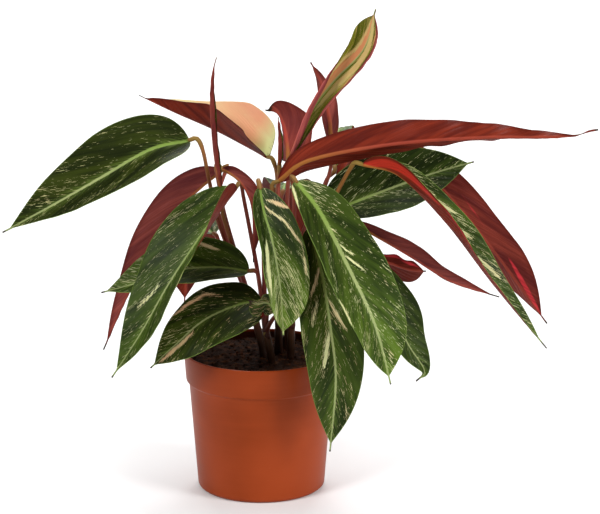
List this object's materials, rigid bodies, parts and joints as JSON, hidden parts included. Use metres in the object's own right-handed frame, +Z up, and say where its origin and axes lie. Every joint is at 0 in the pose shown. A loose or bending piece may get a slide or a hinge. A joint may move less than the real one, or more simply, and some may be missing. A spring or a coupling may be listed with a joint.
{
  "type": "potted prayer plant",
  "caption": "Potted calathea magicstar: arching lance-shaped leaves, green and streaked above, wine-red below, on slender stalks rising from soil in a plain round pot.",
  "frame": {"origin": "centre of the pot's underside, on the flat foot disc that it stands on", "axes": "+Z up, +X to the right as the picture sees it, along the plant's widest spread, -Y towards the viewer of the picture"},
  "size_m": [0.5246, 0.2748, 0.4413],
  "materials": {
    "pot": "smooth moulded plastic, terracotta orange, satin",
    "soil": "moist dark peat and bark crumbs, matt",
    "stalk": "fleshy stalk, red-brown low down, olive and orange towards the leaf, satin",
    "leaf_green": "waxy leaf, green with a pale midrib and cream streaks above, wine-red below",
    "leaf_burgundy": "leaf seen from its wine-red underside, satin, with a brighter red midrib"
  },
  "bodies": {
    "root": {"pot": "pot", "soil": "soil", "shoot_left": "stalk", "shoot_front": "stalk", "shoot_middle": "stalk", "shoot_right": "stalk", "shoot_back": "stalk", "leaf_far_left": "leaf_green", "leaf_left": "leaf_green", "leaf_left_behind": "leaf_burgundy", "leaf_left_inner": "leaf_green", "leaf_low_left": "leaf_green", "leaf_centre": "leaf_green", "leaf_front": "leaf_green", "leaf_low_front": "leaf_green", "leaf_low_right": "leaf_green", "leaf_right": "leaf_green", "leaf_right_drooping": "leaf_green", "leaf_right_behind": "leaf_burgundy", "leaf_right_long": "leaf_burgundy", "leaf_right_inner": "leaf_burgundy", "leaf_right_small": "leaf_burgundy", "leaf_upper_left": "leaf_burgundy", "leaf_unrolling": "leaf_burgundy", "leaf_upright_behind": "leaf_burgundy", "leaf_upright_short": "leaf_burgundy", "leaf_rolled_tall": "leaf_burgundy", "leaf_rolled_short": "leaf_burgundy", "leaf_hanging_red": "leaf_burgundy", "leaf_crumpled": "leaf_green", "leaf_back_left": "leaf_green", "leaf_back": "leaf_green", "leaf_back_right": "leaf_green"}
  },
  "joints": []
}
